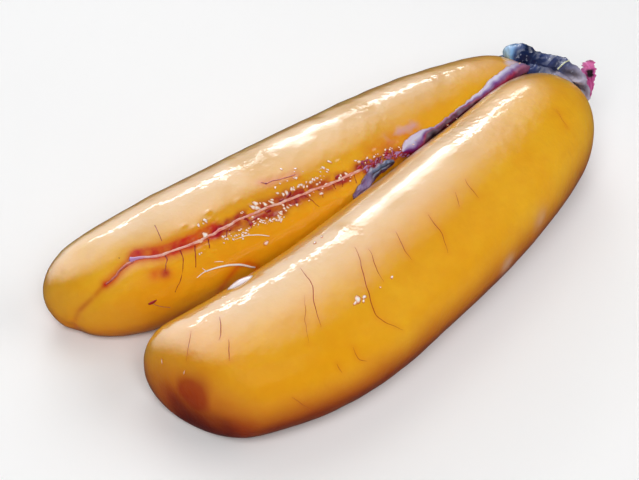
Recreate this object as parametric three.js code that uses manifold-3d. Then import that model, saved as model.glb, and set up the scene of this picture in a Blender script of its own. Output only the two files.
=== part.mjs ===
// A pair of fresh mullet roe lobes, joined at one end by their membrane.
// Millimetres, Z up. X runs along the pair from the two free ends to the joined end, and Y across it.
import * as THREE from "three";
import { mergeVertices } from "three/addons/utils/BufferGeometryUtils.js";
import Module from "manifold-3d";

// Driving dimensions

// Middle of the box round the pair, in the axes that the lobes are laid out in
const BOX_MIDDLE = new THREE.Vector2(19.5, -1.1);

// Space left between pieces that touch
const GAP = 0.35;

// Each lobe has five stations from its free end to its joined end
const FRONT_LOBE = {
  alongX: [-66.6, -31.1, 9.2, 52.8, 97.1],
  acrossY: [-13.1, -23.7, -23.9, -20.2, -11.8],
  halfWidth: [18.1, 22.9, 22.8, 20.5, 15.5],
  height: [24.7, 30, 31.5, 32, 29],
  freeCap: 12.5,
  joinedCap: 27,
  freeBluntness: 3,
  joinedBluntness: 2.4,
  freeSlant: -0.39,
  joinedSlant: 0.1,
  freeDroop: 0.59,
  joinedDroop: 0.1,
  squareness: 2.16,
  sag: 1.18,
  seamSide: 1,
};
const BACK_LOBE = {
  alongX: [-65.2, -27.6, 11.5, 53.8, 99],
  acrossY: [31.7, 23.7, 17, 11.3, 3.7],
  halfWidth: [15.2, 18.6, 19.1, 18.1, 12.3],
  height: [22.6, 28, 29, 27.5, 23],
  freeCap: 21,
  joinedCap: 21.7,
  freeBluntness: 2.6,
  joinedBluntness: 2.4,
  freeSlant: -0.5,
  joinedSlant: -0.17,
  freeDroop: 0.41,
  joinedDroop: 0.09,
  squareness: 2.15,
  sag: 1.21,
  seamSide: -1,
};
const MIDDLE_SHARE = 0.45;

// Upright face where the lobes press on each other, which opens out towards the free ends
const SEAM_Y = -1.5;
const SEAM_SLOPE = 0.012;
const SEAM_OPENS_AT = -15;
const SEAM_OPENING = 0.14;
const SEAM_HALF_GAP = 0.2;
const SEAM_SOFTNESS = 1;

// Blood vessel on the back lobe: millimetres from the free end, degrees round the section
const VEIN_ALONG = [15.4, 18.7, 21.7, 27.4, 33.1, 39.7, 46.8, 56.4, 66.1, 72.8, 79.1, 84.8, 90.2];
const VEIN_ROUND = [108, 113.5, 119, 122.5, 125, 125, 124, 126.5, 129.5, 131.5, 134, 134.5, 135.5];
const VEIN_RADIUS = 0.75;
const VEIN_END_RADIUS = 0.45;
const FORK_ALONG = [15.6, 12, 8.7, 6.4];
const FORK_ROUND = [110, 112, 115.5, 116.5];
const FORK_RADIUS = 0.5;
const BRANCHES = 11;
const BRANCH_FROM = 26;
const BRANCH_STEP = 5.4;
const BRANCH_RADIUS = 0.4;
const BRANCH_CLEAR = 2;
const FURROW_DEPTH = 0.9;
const FURROW_WIDTH = 3.4;

// Crease that runs down the blunt free end of the back lobe, from the fork to the table
const CREASE = [
  [-57.6, 23.8, 19.5],
  [-61, 25.4, 16],
  [-64.1, 28.7, 10.4],
  [-64.8, 30.2, 5.9],
  [-63.5, 29.5, 1],
];
const CREASE_DEPTH = 0.7;
const CREASE_WIDTH = 2.6;

// Crumpled membrane round the joined end: place and radius
const MEMBRANE_PATH = [
  [94.6, 9.8, 19, 1.4],
  [95, 9, 20.4, 2.5],
  [95.6, 7, 20.9, 3.2],
  [96.2, 4.4, 21, 3.1],
  [97, 1.8, 20.6, 2.6],
  [98, -1.8, 20.8, 2.4],
  [99, -5.5, 21.2, 2.5],
  [99.6, -9.2, 21.2, 2.5],
  [99.6, -13.1, 19.8, 2.2],
  [98.9, -16.2, 17.6, 1.7],
  [97.8, -18.4, 15.6, 1.1],
];
const MEMBRANE_BACKING = [
  [88, 15, 12, 3.2],
  [93, 10, 14.5, 4.6],
  [95, 4, 15, 5.4],
  [95.4, -2, 15.4, 5.6],
  [96, -9, 16, 5],
  [95.4, -15, 13.5, 4],
];
const WRINKLE = 0.16;

// Scrap of pink tissue that stands off the membrane
const SCRAP_PATH = [
  [99.6, -17.5, 14.4],
  [101, -16.9, 17.2],
  [102.4, -15.7, 19],
  [103.6, -14.2, 20.6],
  [104.3, -13.3, 22.1],
  [104.4, -12.8, 23.3],
];
const SCRAP_HALF_WIDTH = [0.6, 0.9, 1.4, 2.1, 1.9, 1.8];
const SCRAP_THICKNESS = 1;

// Bands of tissue that lie on the back lobe in the cleft: each edge in degrees round the section
const STRIP = {
  along: [101.5, 104.5, 108, 112.5, 117.5, 123, 129, 135.5, 142, 147.5, 153.5, 160.5],
  upper: [137, 129.5, 127, 129.5, 131, 128, 125, 119.5, 112, 106.5, 101.5, 97],
  lower: [141, 148, 151, 150, 147, 141.5, 139.5, 136.5, 133.5, 130, 128.5, 122],
  thickness: [0.5, 1.1, 1.1, 0.8, 0.6, 0.6, 0.7, 0.9, 1.1, 1.2, 1.1, 0.8],
};
const FLAP = {
  along: [81, 83.5, 86, 88.5, 91.5, 94.5, 97.5],
  upper: [155, 148.5, 143.5, 139.5, 137, 138.5, 141.5],
  lower: [160, 160.5, 158, 155, 150.5, 149, 148.5],
  thickness: [0.5, 0.9, 1.1, 1.2, 1.2, 1, 0.6],
};

// Pale patch of tissue on the shoulder of the front lobe
const PATCH = { along: 31, round: 44, halfLength: 4.6, halfWidth: 2.2, thickness: 0.9 };

// Number of pieces that each surface is divided into
const FRONT_RINGS = { cap: 7, body: 20, around: 32 };
const BACK_RINGS = { cap: 8, body: 30, around: 40 };

// Shared shapes

// A smooth run through evenly spaced values
function through(values, u) {
  const last = values.length - 1;
  const at = (i) => {
    if (i < 0) return 2 * values[0] - values[1];
    if (i > last) return 2 * values[last] - values[last - 1];
    return values[i];
  };
  const x = Math.min(Math.max(u, 0), 1) * last;
  const i = Math.min(Math.floor(x), last - 1);
  const f = x - i;
  const [a, b, c, d] = [at(i - 1), at(i), at(i + 1), at(i + 2)];
  return b + 0.5 * f * (c - a + f * (2 * a - 5 * b + 4 * c - d + f * (3 * (b - c) + d - a)));
}

// Straight lines through unevenly spaced values
function between(places, values, x) {
  let i = 0;
  while (i < places.length - 2 && x > places[i + 1]) i += 1;
  const f = Math.min(Math.max((x - places[i]) / (places[i + 1] - places[i]), 0), 1);
  return values[i] + (values[i + 1] - values[i]) * f;
}

// Share of the full section at a distance from a rounded end
function roundedEnd(distance, length, bluntness) {
  const q = Math.min(Math.max(1 - distance / length, 0), 1);
  return Math.pow(1 - Math.pow(q, bluntness), 1 / bluntness);
}

function signedPower(value, power) {
  return Math.sign(value) * Math.pow(Math.abs(value), power);
}

// A value that eases to a limit instead of passing it
function easedUpTo(value, limit, softness) {
  return limit - softness * Math.log1p(Math.exp((limit - value) / softness));
}

function distanceToPath(point, path) {
  let least = Infinity;
  const line = new THREE.Line3();
  const nearest = new THREE.Vector3();
  for (let i = 0; i < path.length - 1; i += 1) {
    line.set(path[i], path[i + 1]).closestPointToPoint(point, true, nearest);
    least = Math.min(least, nearest.distanceTo(point));
  }
  return least;
}

// A lobe: place(along, degrees) is a point of its skin, and raised() one above it
function makeLobe(spec, grooves) {
  const steps = 400;
  const middle = (u) => new THREE.Vector2(through(spec.alongX, u), through(spec.acrossY, u));
  const lengths = [0];
  for (let i = 1; i <= steps; i += 1) {
    lengths.push(lengths[i - 1] + middle(i / steps).distanceTo(middle((i - 1) / steps)));
  }
  const length = lengths[steps];

  function shareAlong(along) {
    let i = 0;
    while (i < steps - 1 && lengths[i + 1] < along) i += 1;
    return (i + (along - lengths[i]) / (lengths[i + 1] - lengths[i])) / steps;
  }

  function plain(along, degrees) {
    const u = Math.min(Math.max(shareAlong(along), 0), 1);
    const freeEnd = roundedEnd(along, spec.freeCap, spec.freeBluntness);
    const joinedEnd = roundedEnd(length - along, spec.joinedCap, spec.joinedBluntness);
    const size = freeEnd * joinedEnd;
    const angle = THREE.MathUtils.degToRad(degrees);
    const side = signedPower(Math.cos(angle), 2 / spec.squareness);
    const rise = signedPower(Math.sin(angle), 2 / spec.squareness);
    const height = through(spec.height, u);
    const middleHeight = MIDDLE_SHARE * height;
    const centreHeight =
      middleHeight * (1 - spec.freeDroop * (1 - freeEnd)) * (1 - spec.joinedDroop * (1 - joinedEnd));
    const reach = rise > 0 ? height - middleHeight : middleHeight * spec.sag;
    const across = through(spec.halfWidth, u) * size * side;
    const slant = spec.freeSlant * Math.pow(1 - u, 3) + spec.joinedSlant * Math.pow(u, 3);
    const centre = middle(u);
    const direction = middle(Math.min(u + 0.001, 1)).sub(middle(Math.max(u - 0.001, 0))).normalize();
    const x = centre.x - direction.y * across + direction.x * slant * across;
    let y = centre.y + direction.x * across + direction.y * slant * across;
    const opening = SEAM_OPENING * Math.max(SEAM_OPENS_AT - x, 0);
    const limit = SEAM_Y + SEAM_SLOPE * x + opening - spec.seamSide * SEAM_HALF_GAP;
    y = spec.seamSide * easedUpTo(spec.seamSide * y, spec.seamSide * limit, SEAM_SOFTNESS);
    return new THREE.Vector3(x, y, Math.max(centreHeight + reach * size * rise, 0));
  }

  function outward(along, degrees, skin) {
    const a = Math.min(Math.max(along, 0.3), length - 0.3);
    const lengthwise = skin(a + 0.25, degrees).sub(skin(a - 0.25, degrees));
    const round = skin(a, degrees + 1).sub(skin(a, degrees - 1));
    return round.cross(lengthwise).normalize();
  }

  function place(along, degrees) {
    const point = plain(along, degrees);
    if (point.z <= 0) return point;
    let depth = 0;
    for (const groove of grooves) {
      const away = distanceToPath(point, groove.path) / groove.width;
      depth = Math.max(depth, groove.depth * Math.exp(-away * away));
    }
    if (depth < 0.01) return point;
    point.addScaledVector(outward(along, degrees, plain), -depth);
    point.z = Math.max(point.z, 0);
    return point;
  }

  function raised(along, degrees, lift) {
    return place(along, degrees).addScaledVector(outward(along, degrees, place), lift);
  }

  return { length, spec, plain, place, raised };
}

// A closed geometry from rings of points, with a point at each end
function skinOver(first, rings, last) {
  const positions = [first, ...rings.flat(), last].flatMap((p) => [p.x, p.y, p.z]);
  const around = rings[0].length;
  const end = 1 + rings.length * around;
  const index = [];
  for (let j = 0; j < around; j += 1) {
    const k = (j + 1) % around;
    index.push(0, 1 + k, 1 + j);
    for (let i = 0; i < rings.length - 1; i += 1) {
      const a = 1 + i * around;
      const b = a + around;
      index.push(a + j, a + k, b + k, a + j, b + k, b + j);
    }
    index.push(end, end - around + j, end - around + k);
  }
  const geometry = new THREE.BufferGeometry();
  geometry.setAttribute("position", new THREE.Float32BufferAttribute(positions, 3));
  geometry.setIndex(index);
  return geometry;
}

// Lengths at which a lobe's rings lie, close together at both ends
function ringPlaces(lobe, rings) {
  const { freeCap, joinedCap } = lobe.spec;
  const places = [];
  for (let i = 1; i <= rings.cap; i += 1) {
    places.push(freeCap * (1 - Math.cos((i / rings.cap) * (Math.PI / 2))));
  }
  const body = lobe.length - freeCap - joinedCap;
  for (let i = 1; i < rings.body; i += 1) places.push(freeCap + (body * i) / rings.body);
  for (let i = rings.cap; i >= 1; i -= 1) {
    places.push(lobe.length - joinedCap * (1 - Math.cos((i / rings.cap) * (Math.PI / 2))));
  }
  return places;
}

function lobeSkin(lobe, rings, lift) {
  const point = lift ? (a, d) => lobe.raised(a, d, lift) : lobe.place;
  const made = ringPlaces(lobe, rings).map((along) => {
    const ring = [];
    for (let j = 0; j < rings.around; j += 1) ring.push(point(along, (j * 360) / rings.around));
    return ring;
  });
  const first = lobe.plain(0, 0);
  const last = lobe.plain(lobe.length, 0);
  if (lift) {
    first.x -= lift;
    last.x += lift;
  }
  return skinOver(first, made, last);
}

// A round cord along points, with its radius at each, closed by rounded tips
function cord(points, radii, count, sides, wrinkle = () => 0) {
  const curve = new THREE.CatmullRomCurve3(points, false, "centripetal");
  const rings = [];
  let across = new THREE.Vector3(0, 0, 1);
  for (let i = 0; i <= count; i += 1) {
    const u = i / count;
    const centre = curve.getPoint(u);
    const direction = curve.getTangent(u);
    const side = direction.clone().cross(across).normalize();
    across = side.clone().cross(direction).normalize();
    const radius = through(radii, u);
    const ring = [];
    for (let j = 0; j < sides; j += 1) {
      const angle = (j / sides) * 2 * Math.PI;
      const r = radius * (1 + wrinkle(u, angle));
      ring.push(
        centre
          .clone()
          .addScaledVector(side, r * Math.cos(angle))
          .addScaledVector(across, r * Math.sin(angle)),
      );
    }
    rings.push(ring);
  }
  const tip = (u, out) =>
    curve.getPoint(u).addScaledVector(curve.getTangent(u), out * 0.6 * radii.at(out < 0 ? 0 : -1));
  return skinOver(tip(0, -1), rings, tip(1, 1));
}

// A band of tissue lying on a lobe, thin at its edges
function bandOn(lobe, band, sections, columns, ripple) {
  const rings = [];
  for (let i = 0; i <= sections; i += 1) {
    const u = i / sections;
    const along = through(band.along, u);
    const upper = through(band.upper, u);
    const lower = through(band.lower, u);
    const thickness = through(band.thickness, u);
    const top = [];
    const under = [];
    for (let j = 0; j <= columns; j += 1) {
      const v = j / columns;
      const degrees = upper + (lower - upper) * v;
      const rounded = Math.sqrt(Math.max(1 - Math.pow(2 * v - 1, 2), 0));
      const rise = 0.25 + (thickness + ripple(u, v)) * rounded;
      top.push(lobe.raised(along, degrees, GAP + rise));
      if (j > 0 && j < columns) under.push(lobe.raised(along, degrees, GAP));
    }
    rings.push([...top, ...under.reverse()]);
  }
  const centreOf = (ring) =>
    ring.reduce((sum, p) => sum.add(p), new THREE.Vector3()).multiplyScalar(1 / ring.length);
  return skinOver(centreOf(rings[0]), rings, centreOf(rings[sections]));
}

// A thin leaf along points, wide across a given direction
function leaf(points, halfWidths, thickness, wide) {
  const curve = new THREE.CatmullRomCurve3(points, false, "centripetal");
  const count = 12;
  const columns = 5;
  const rings = [];
  for (let i = 0; i <= count; i += 1) {
    const u = i / count;
    const direction = curve.getTangent(u);
    const side = wide.clone().addScaledVector(direction, -wide.dot(direction)).normalize();
    const face = direction.clone().cross(side).normalize();
    const half = through(halfWidths, u);
    const ring = [];
    for (const out of [1, -1]) {
      for (let j = 0; j < columns; j += 1) {
        const v = out * (1 - (2 * j) / (columns - 1)) * 0.999;
        const curl = 0.5 * Math.sin(3 * v + 7 * u);
        const bulge = out * thickness * 0.5 * (0.35 + 0.65 * Math.sqrt(1 - v * v));
        ring.push(
          curve
            .getPoint(u)
            .addScaledVector(side, half * v)
            .addScaledVector(face, curl + bulge),
        );
      }
    }
    rings.push(ring);
  }
  return skinOver(curve.getPoint(0), rings, curve.getPoint(1));
}

// Solids

const wasm = await Module();
wasm.setup();

function solidFrom(geometry) {
  const merged = mergeVertices(geometry, 1e-4);
  const made = new wasm.Manifold(
    new wasm.Mesh({
      numProp: 3,
      vertProperties: merged.attributes.position.array,
      triVerts: new Uint32Array(merged.index.array),
    }),
  );
  return made;
}

// A solid from a geometry whichever way its faces were wound
function solidOf(geometry) {
  const made = solidFrom(geometry);
  if (made.volume() > 0) return made;
  const index = geometry.index.array;
  for (let i = 0; i < index.length; i += 3) [index[i + 1], index[i + 2]] = [index[i + 2], index[i + 1]];
  return solidFrom(geometry);
}

function largestBody(solid) {
  return solid.decompose().reduce((a, b) => (a.volume() > b.volume() ? a : b));
}

const pair = new THREE.Group();

function addPiece(name, solid, colour) {
  const mesh = solid.getMesh();
  const positions = [];
  for (let i = 0; i < mesh.numVert; i += 1) {
    const v = mesh.vertProperties.subarray(i * mesh.numProp, i * mesh.numProp + 3);
    positions.push(v[0] - BOX_MIDDLE.x, v[1] - BOX_MIDDLE.y, v[2]);
  }
  const geometry = new THREE.BufferGeometry();
  geometry.setAttribute("position", new THREE.Float32BufferAttribute(positions, 3));
  geometry.setIndex(Array.from(mesh.triVerts));
  geometry.computeVertexNormals();
  const material = new THREE.MeshStandardMaterial({ color: colour, roughness: 0.35 });
  material.name = name + "_material";
  const piece = new THREE.Mesh(geometry, material);
  piece.name = name;
  pair.add(piece);
}

// The two lobes

const unmarkedBack = makeLobe(BACK_LOBE, []);
const veinPlaces = VEIN_ALONG.map((along, i) => unmarkedBack.plain(along, VEIN_ROUND[i]));
const forkPlaces = FORK_ALONG.map((along, i) => unmarkedBack.plain(along, FORK_ROUND[i]));
const frontLobe = makeLobe(FRONT_LOBE, []);
const backLobe = makeLobe(BACK_LOBE, [
  { path: veinPlaces, depth: FURROW_DEPTH, width: FURROW_WIDTH },
  { path: forkPlaces, depth: CREASE_DEPTH, width: CREASE_WIDTH },
  { path: CREASE.map((p) => new THREE.Vector3(...p)), depth: CREASE_DEPTH, width: CREASE_WIDTH },
]);
const frontSolid = solidOf(lobeSkin(frontLobe, FRONT_RINGS, 0));
const backSolid = solidOf(lobeSkin(backLobe, BACK_RINGS, 0));
const roomForFront = solidOf(lobeSkin(frontLobe, FRONT_RINGS, GAP));
const roomForBack = solidOf(lobeSkin(backLobe, BACK_RINGS, GAP));
addPiece("roe_lobe_front", frontSolid, 0xdc962d);
addPiece("roe_lobe_back", backSolid, 0xdc962d);

// The vessel with its fork and its row of side branches

function vesselAlong(along, round, radius, endRadius, count, sides) {
  const points = along.map((a, i) => backLobe.raised(a, round[i], GAP + 0.8 * radius));
  const radii = along.map((_, i) => radius + ((endRadius - radius) * i) / (along.length - 1));
  return solidOf(cord(points, radii, count, sides));
}

const vesselParts = [
  vesselAlong(VEIN_ALONG, VEIN_ROUND, VEIN_RADIUS, VEIN_END_RADIUS, 28, 7),
  vesselAlong(FORK_ALONG, FORK_ROUND, FORK_RADIUS, FORK_RADIUS * 0.6, 7, 5),
];
for (let i = 0; i < BRANCHES; i += 1) {
  const start = BRANCH_FROM + BRANCH_STEP * i + 1.2 * Math.sin(2.7 * i);
  const from = between(VEIN_ALONG, VEIN_ROUND, start);
  const drop = 15 + 4 * Math.sin(1.9 * i + 1);
  const lean = 2 + Math.sin(3.1 * i);
  const along = [0, 0.35, 0.7, 1].map((f) => start - lean * f);
  const round = [0, 0.35, 0.7, 1].map((f) => from + BRANCH_CLEAR + (drop - BRANCH_CLEAR) * f);
  vesselParts.push(vesselAlong(along, round, BRANCH_RADIUS, BRANCH_RADIUS * 0.6, 4, 5));
}
const vessel = wasm.Manifold.union(vesselParts).subtract(roomForFront).subtract(roomForBack);

// Tissue in the cleft and round the joined end, and the room that each piece needs

const grown = (values, by) => values.map((v) => v + by);

function bandSolid(band, room, ripple) {
  const slack = room ? 1.6 : 0;
  const roomy = {
    along: [band.along[0] - room, ...band.along.slice(1, -1), band.along.at(-1) + room],
    upper: grown(band.upper, -slack),
    lower: grown(band.lower, slack),
    thickness: grown(band.thickness, 1.5 * room),
  };
  return solidOf(bandOn(backLobe, roomy, band.along.length * 2 + 2, 5, ripple));
}

function cordSolid(path, room) {
  const points = path.map(([x, y, z]) => new THREE.Vector3(x, y, z));
  const radii = path.map((p) => p[3] + room);
  return solidOf(cord(points, radii, Math.round(path.length * 2.4), 12, wrinkles));
}

function scrapSolid(room) {
  const points = SCRAP_PATH.map(([x, y, z]) => new THREE.Vector3(x, y, z));
  const wide = new THREE.Vector3(0.7, -0.7, 0.1);
  return solidOf(leaf(points, grown(SCRAP_HALF_WIDTH, room), SCRAP_THICKNESS + 2 * room, wide));
}

const wrinkles = (u, angle) =>
  WRINKLE * (0.6 * Math.sin(3 * angle + 23 * u) + 0.4 * Math.sin(47 * u - 2 * angle + 1));
const stripRipple = (u, v) => 0.3 * Math.sin(31 * u + 5 * v);
const flapRipple = (u, v) => 0.25 * Math.sin(19 * u - 6 * v);
const membraneSolid = (room) => cordSolid(MEMBRANE_PATH, room).add(cordSolid(MEMBRANE_BACKING, room));
const scrap = scrapSolid(0);
const membrane = membraneSolid(0).subtract(roomForFront).subtract(roomForBack).subtract(scrapSolid(GAP));
const band = bandSolid(STRIP, 0, stripRipple).subtract(roomForFront).subtract(membraneSolid(GAP));
const flap = bandSolid(FLAP, 0, flapRipple)
  .subtract(roomForFront)
  .subtract(bandSolid(STRIP, GAP, stripRipple));
const clearVessel = vessel
  .subtract(bandSolid(STRIP, GAP, stripRipple))
  .subtract(bandSolid(FLAP, GAP, flapRipple));

// The pale patch on the front lobe's shoulder

const patchRings = [];
for (let i = 1; i <= 4; i += 1) {
  const share = i / 4;
  const ring = [];
  for (let j = 0; j < 16; j += 1) {
    const angle = (j / 16) * 2 * Math.PI;
    const along = PATCH.along + PATCH.halfLength * share * Math.cos(angle);
    const degrees = PATCH.round + (PATCH.halfWidth / 0.35) * share * Math.sin(angle);
    const lift = GAP + 0.15 + PATCH.thickness * (1 - share * share);
    ring.push(frontLobe.raised(along, degrees, lift));
  }
  patchRings.push(ring);
}
patchRings.push(
  patchRings[3].map((_, j) => {
    const angle = (j / 16) * 2 * Math.PI;
    const along = PATCH.along + PATCH.halfLength * Math.cos(angle);
    return frontLobe.raised(along, PATCH.round + (PATCH.halfWidth / 0.35) * Math.sin(angle), GAP);
  }),
);
const patch = solidOf(
  skinOver(
    frontLobe.raised(PATCH.along, PATCH.round, GAP + 0.15 + PATCH.thickness),
    patchRings,
    frontLobe.raised(PATCH.along, PATCH.round, GAP),
  ),
).subtract(roomForBack);

addPiece("vein_trunk", largestBody(clearVessel), 0xb4503c);
addPiece("membrane_end", largestBody(membrane), 0x4a5978);
addPiece("tissue_scrap", scrap, 0xbe6099);
addPiece("mesentery_strip", largestBody(band), 0xa68ca0);
addPiece("membrane_flap", largestBody(flap), 0x6e6478);
addPiece("pale_patch", largestBody(patch), 0xe4d1cf);

export default pair;
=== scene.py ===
# A pair of fresh mullet roe lobes, wet and raw, lying on a pale table.
import math

import bpy
import numpy as np
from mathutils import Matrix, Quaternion, Vector


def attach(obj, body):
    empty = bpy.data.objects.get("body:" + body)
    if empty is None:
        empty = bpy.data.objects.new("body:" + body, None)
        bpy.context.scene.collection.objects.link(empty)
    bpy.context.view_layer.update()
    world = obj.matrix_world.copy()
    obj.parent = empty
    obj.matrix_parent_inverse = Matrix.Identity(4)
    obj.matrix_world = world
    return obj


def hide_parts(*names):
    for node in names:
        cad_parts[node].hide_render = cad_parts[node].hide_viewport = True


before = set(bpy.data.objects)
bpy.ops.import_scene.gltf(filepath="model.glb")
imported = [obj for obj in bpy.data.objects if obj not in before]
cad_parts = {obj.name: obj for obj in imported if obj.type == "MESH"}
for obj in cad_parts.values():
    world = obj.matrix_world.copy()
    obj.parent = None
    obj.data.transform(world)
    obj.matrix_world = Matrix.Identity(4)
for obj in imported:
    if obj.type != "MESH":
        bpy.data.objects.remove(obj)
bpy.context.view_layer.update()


# Sizes, in millimetres and degrees, the same as in the solids
MILLIMETRE = 0.001
BOX_MIDDLE = (19.5, -1.1)
FRONT_LOBE = dict(
    along_x=[-66.6, -31.1, 9.2, 52.8, 97.1],
    across_y=[-13.1, -23.7, -23.9, -20.2, -11.8],
    half_width=[18.1, 22.9, 22.8, 20.5, 15.5],
    height=[24.7, 30, 31.5, 32, 29],
    free_cap=12.5, joined_cap=27, free_bluntness=3, joined_bluntness=2.4,
    free_slant=-0.39, joined_slant=0.1, free_droop=0.59, joined_droop=0.1,
    squareness=2.16, sag=1.18, seam_side=1,
)
BACK_LOBE = dict(
    along_x=[-65.2, -27.6, 11.5, 53.8, 99],
    across_y=[31.7, 23.7, 17, 11.3, 3.7],
    half_width=[15.2, 18.6, 19.1, 18.1, 12.3],
    height=[22.6, 28, 29, 27.5, 23],
    free_cap=21, joined_cap=21.7, free_bluntness=2.6, joined_bluntness=2.4,
    free_slant=-0.5, joined_slant=-0.17, free_droop=0.41, joined_droop=0.09,
    squareness=2.15, sag=1.21, seam_side=-1,
)
MIDDLE_SHARE = 0.45
SEAM_Y, SEAM_SLOPE, SEAM_OPENS_AT, SEAM_OPENING = -1.5, 0.012, -15, 0.14
SEAM_HALF_GAP, SEAM_SOFTNESS = 0.2, 1.0
VEIN_ALONG = [15.4, 18.7, 21.7, 27.4, 33.1, 39.7, 46.8, 56.4, 66.1, 72.8, 79.1, 84.8, 90.2]
VEIN_ROUND = [108, 113.5, 119, 122.5, 125, 125, 124, 126.5, 129.5, 131.5, 134, 134.5, 135.5]
FORK_ALONG = [15.6, 12, 8.7, 6.4]
FORK_ROUND = [110, 112, 115.5, 116.5]
CREASE = [(-57.6, 23.8, 19.5), (-61, 25.4, 16), (-64.1, 28.7, 10.4), (-64.8, 30.2, 5.9), (-63.5, 29.5, 1)]
# Depth and width
FURROW = (0.9, 3.4)
FOLD = (0.7, 2.6)
MEMBRANE_PATH = [
    (94.6, 9.8, 19, 1.4), (95, 9, 20.4, 2.5), (95.6, 7, 20.9, 3.2), (96.2, 4.4, 21, 3.1),
    (97, 1.8, 20.6, 2.6), (98, -1.8, 20.8, 2.4), (99, -5.5, 21.2, 2.5), (99.6, -9.2, 21.2, 2.5),
    (99.6, -13.1, 19.8, 2.2), (98.9, -16.2, 17.6, 1.7), (97.8, -18.4, 15.6, 1.1),
]
MEMBRANE_BACKING = [
    (88, 15, 12, 3.2), (93, 10, 14.5, 4.6), (95, 4, 15, 5.4), (95.4, -2, 15.4, 5.6), (96, -9, 16, 5),
    (95.4, -15, 13.5, 4),
]
SCRAP_PATH = [
    (99.6, -17.5, 14.4), (101, -16.9, 17.2), (102.4, -15.7, 19), (103.6, -14.2, 20.6),
    (104.3, -13.3, 22.1), (104.4, -12.8, 23.3),
]
SCRAP_HALF_WIDTH = [0.6, 0.9, 1.4, 2.1, 1.9, 1.8]
STRIP = dict(
    along=[101.5, 104.5, 108, 112.5, 117.5, 123, 129, 135.5, 142, 147.5, 153.5, 160.5],
    upper=[137, 129.5, 127, 129.5, 131, 128, 125, 119.5, 112, 106.5, 101.5, 97],
    lower=[141, 148, 151, 150, 147, 141.5, 139.5, 136.5, 133.5, 130, 128.5, 122],
    thickness=[0.5, 1.1, 1.1, 0.8, 0.6, 0.6, 0.7, 0.9, 1.1, 1.2, 1.1, 0.8],
)
FLAP = dict(
    along=[81, 83.5, 86, 88.5, 91.5, 94.5, 97.5],
    upper=[155, 148.5, 143.5, 139.5, 137, 138.5, 141.5],
    lower=[160, 160.5, 158, 155, 150.5, 149, 148.5],
    thickness=[0.5, 0.9, 1.1, 1.2, 1.2, 1, 0.6],
)
PATCH = dict(along=31, round=44, half_length=4.6, half_width=2.2, thickness=0.9)

# Places on a lobe are (millimetres from the free end, degrees round the section)
SMALL_VESSEL = [(59.6, 102.5), (60.6, 106), (62.6, 106.2), (64.6, 108), (66.6, 109.8), (69, 111)]
BACK_HAIR = [(28, 91.5), (26.7, 99), (25.4, 108)]
RED_SMEAR = [(17.5, 107.5), (21, 114.5), (24.5, 118.5), (28.5, 120.5), (34, 122.5), (38, 122.5)]
# Blood under the skin beside the vessel: its run and half its width
CRIMSON_RUNS = [
    ([(38, 128.5), (42.4, 127)], 0.9),
    ([(44, 131), (47, 131.5), (50, 131.5)], 1.2),
    ([(51, 130), (55, 132.5), (59, 135)], 1.5),
    ([(57, 125.5), (61, 126.5), (65.5, 129)], 1.2),
    ([(64, 133), (67.5, 136)], 0.8),
    ([(73, 133.5), (77, 135), (81.5, 136)], 1.1),
    ([(85.5, 133), (90, 132.5)], 1.6),
    ([(90, 134), (95.5, 135), (101, 137)], 1.3),
]
SMUDGE = [(17, 134), (19.3, 138)]
# Side branches: their places and their radius
BRANCHES = [
    ([(27.2, 124), (25.5, 135), (22.5, 148), (19, 162)], 0.13),
    ([(31.2, 126), (29.3, 138), (27.5, 147)], 0.2),
    ([(35.6, 127), (34.9, 131), (34, 136)], 0.26),
    ([(41.6, 127), (41, 130), (40, 133.5)], 0.26),
    ([(48, 126), (48.6, 131), (48, 137)], 0.4),
    ([(61.2, 129), (60.9, 132), (60.5, 134.5)], 0.2),
    ([(64.2, 127), (64.3, 133), (63.5, 138)], 0.34),
    ([(67.6, 130), (68.5, 140), (69.5, 148)], 0.14),
    ([(77.2, 134), (77.2, 137), (77, 140.5)], 0.2),
    ([(80.4, 132), (79.8, 137), (79, 141)], 0.22),
    ([(23, 121), (22, 128), (19.4, 137)], 0.16),
    ([(54.4, 128), (54.6, 133), (53.8, 139)], 0.18),
    ([(72, 132), (72.5, 136), (71.8, 142)], 0.13),
    ([(84.5, 134), (84.2, 139), (83.2, 145)], 0.16),
]
FILM_ARCS = [
    ([(26.4, 156.5), (29.4, 154.5), (33, 156), (36.4, 159.5), (39.7, 165), (42.8, 172.5), (44.4, 176)], 0.4),
    ([(41.4, 140), (44.8, 140.5), (48.4, 145.5), (51.4, 151.5)], 0.2),
    ([(29, 150), (29.4, 153), (30, 156)], 0.14),
    ([(33, 150), (34.3, 151.5), (35.4, 153.5)], 0.15),
]
CLOT_THREAD = [(11.7, 162), (12.7, 167), (14.4, 173), (16.4, 177.5)]
BULGE = dict(along=31, round=168, radius=6.5, height=0.55)
WET_ORANGE = [(32.5, 180), (35.5, 172), (39.2, 165.5), (42.6, 168), (45.2, 177)]
# Dark red clots: along, degrees, length and width, and for those away from the vessel also the height
LONE_CLOTS = [(12.2, 162.5, 2.7, 1.0, 0.4), (13.9, 101, 0.35, 0.35, 0.15), (60.4, 105.5, 1, 0.5, 0.2)]
CLOTS = [
    (63.5, 124.5, 2.9, 0.8), (60.8, 125.5, 1.6, 0.6), (55.4, 129.5, 2.2, 0.7), (50.8, 130, 1.5, 0.6),
    (48.6, 133, 1.3, 0.9), (42.2, 129, 1, 0.6), (79.6, 130, 1.9, 0.8), (87, 132.5, 2.3, 1.5),
    (88.6, 135, 1.4, 0.9), (96.4, 133.5, 1.9, 1.1), (98.8, 135.5, 1.6, 0.9), (120.8, 139, 2, 0.7),
    (125, 136.5, 1.8, 0.7),
]
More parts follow.
